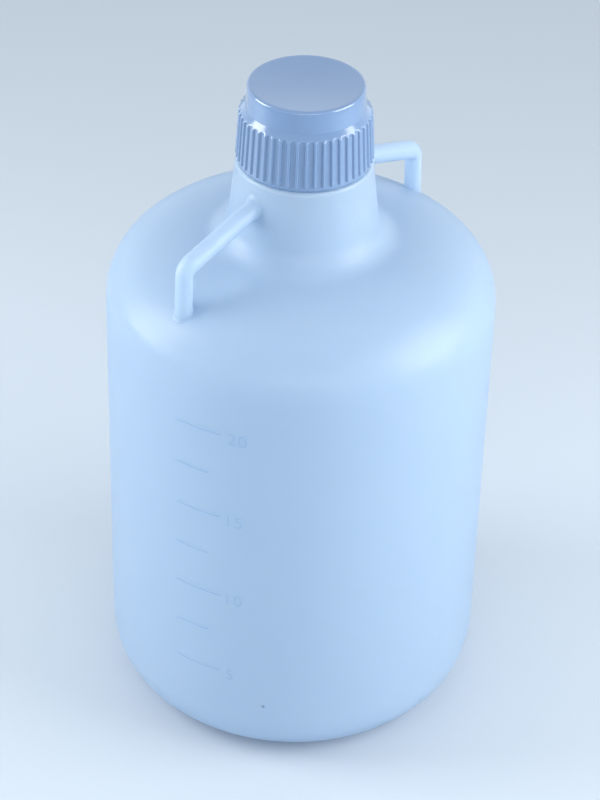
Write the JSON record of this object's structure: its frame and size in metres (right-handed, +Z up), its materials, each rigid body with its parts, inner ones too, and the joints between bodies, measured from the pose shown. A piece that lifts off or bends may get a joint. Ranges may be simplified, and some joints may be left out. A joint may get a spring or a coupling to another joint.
{
  "type": "laboratory carboy",
  "caption": "Blow-moulded carboy of milky translucent plastic with shoulder handles, moulded volume marks and a ribbed screw cap over a wide mouth; stores and pours liquids.",
  "frame": {"origin": "centre of the base, on the surface that it stands on", "axes": "+Z up along the bottle's axis, X through both handles"},
  "size_m": [0.2949, 0.295, 0.5312],
  "materials": {
    "bottle": "milky translucent natural polypropylene, satin, with a fine blow-moulded skin",
    "cap": "pale grey-white moulded polypropylene, semi-gloss",
    "seal": "soft off-white sealing ring, matte"
  },
  "bodies": {
    "carboy": {"carboy_body": "bottle"},
    "seal": {"gasket": "seal"},
    "closure": {"cap": "cap"}
  },
  "joints": [
    {"name": "cap_lift", "type": "slide", "parent": "carboy", "child": "seal", "axis": [0, 0, 1], "range_m": [0, 0.0128]},
    {"name": "cap_turn", "type": "hinge", "parent": "seal", "child": "closure", "pos_m": [0, 0, 0.5], "axis": [0, 0, 1], "range_deg": [0, 720]}
  ],
  "couplings": [
    {"joint": "cap_lift", "follows": "cap_turn", "m_per_rad": 0.001018}
  ]
}
